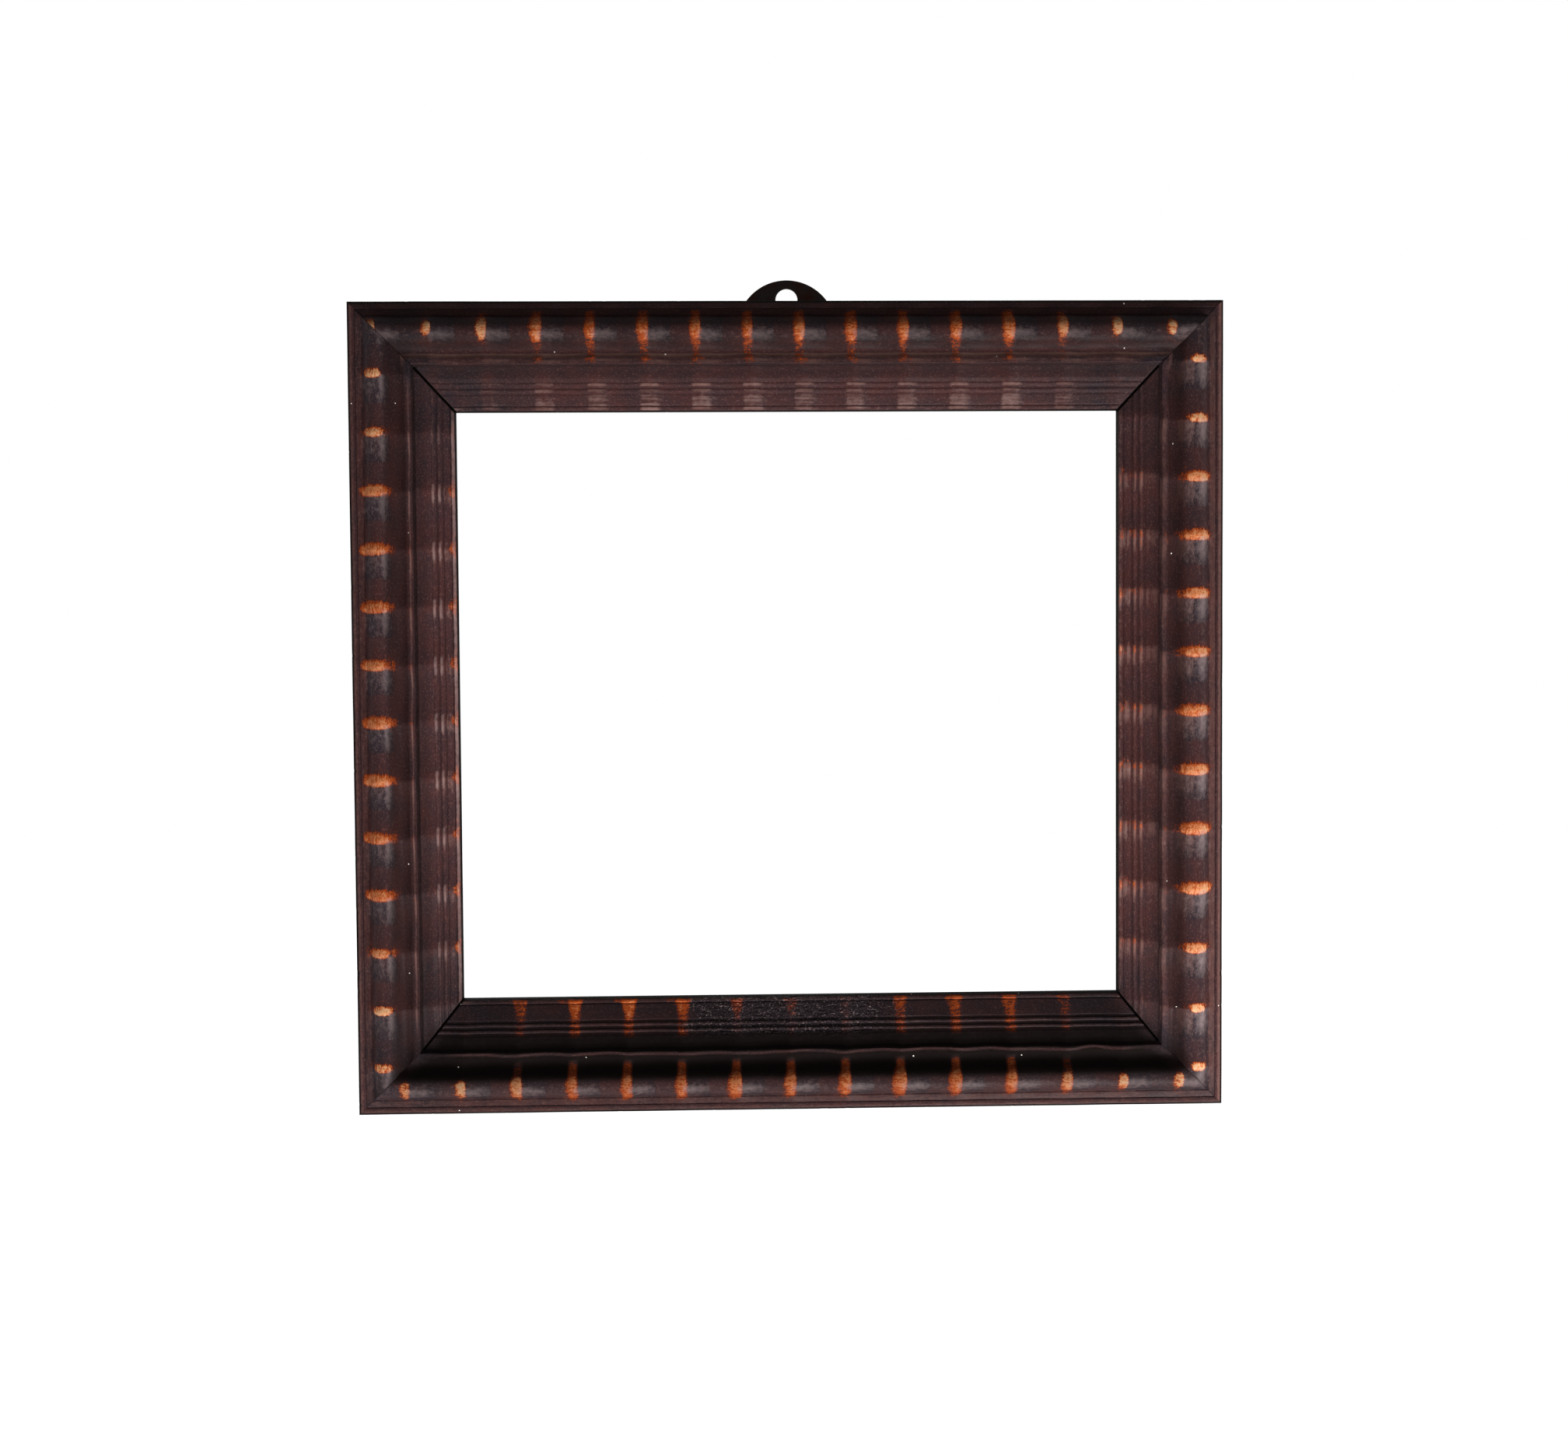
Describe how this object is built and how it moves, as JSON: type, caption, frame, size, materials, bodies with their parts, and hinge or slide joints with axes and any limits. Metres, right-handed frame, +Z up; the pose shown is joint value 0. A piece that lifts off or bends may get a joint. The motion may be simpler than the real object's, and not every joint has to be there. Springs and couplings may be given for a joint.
{
  "type": "ripple-moulded picture frame",
  "caption": "Rectangular wall frame: a pine carcass faced with dark rippled mouldings, an open rebate for a picture at the back and a flat metal hanger with a hole at the top.",
  "frame": {"origin": "middle of the hanger's hole, on the wall plane", "axes": "+Z up, +Y into the wall, so the front looks along -Y; +X to the right as seen from the front"},
  "size_m": [0.454, 0.0315, 0.4368],
  "materials": {
    "ebonised_wood": "old black-brown stain under a worn satin varnish, rubbed to orange wood on the ridges",
    "ebonised_sight": "the same stain, greyer and drier on the sloping faces",
    "pine": "bare and darkened with age",
    "peg_wood": "bare end grain",
    "hanger_iron": "old dark paint over sheet iron",
    "fastener_steel": "dull, browned"
  },
  "bodies": {
    "root": {"base_rail_bottom": "pine", "base_stile_right": "pine", "base_rail_top": "pine", "base_stile_left": "pine", "edge_strip_bottom": "ebonised_wood", "edge_strip_right": "ebonised_wood", "edge_strip_top": "ebonised_wood", "edge_strip_left": "ebonised_wood", "outer_moulding_bottom": "ebonised_wood", "outer_moulding_right": "ebonised_wood", "outer_moulding_top": "ebonised_wood", "outer_moulding_left": "ebonised_wood", "sight_moulding_bottom": "ebonised_sight", "sight_moulding_right": "ebonised_sight", "sight_moulding_top": "ebonised_sight", "sight_moulding_left": "ebonised_sight", "corner_pegs": "peg_wood", "outer_moulding_brads": "fastener_steel", "sight_moulding_brads": "fastener_steel", "hanger_plate": "hanger_iron", "hanger_screws": "fastener_steel"}
  },
  "joints": []
}
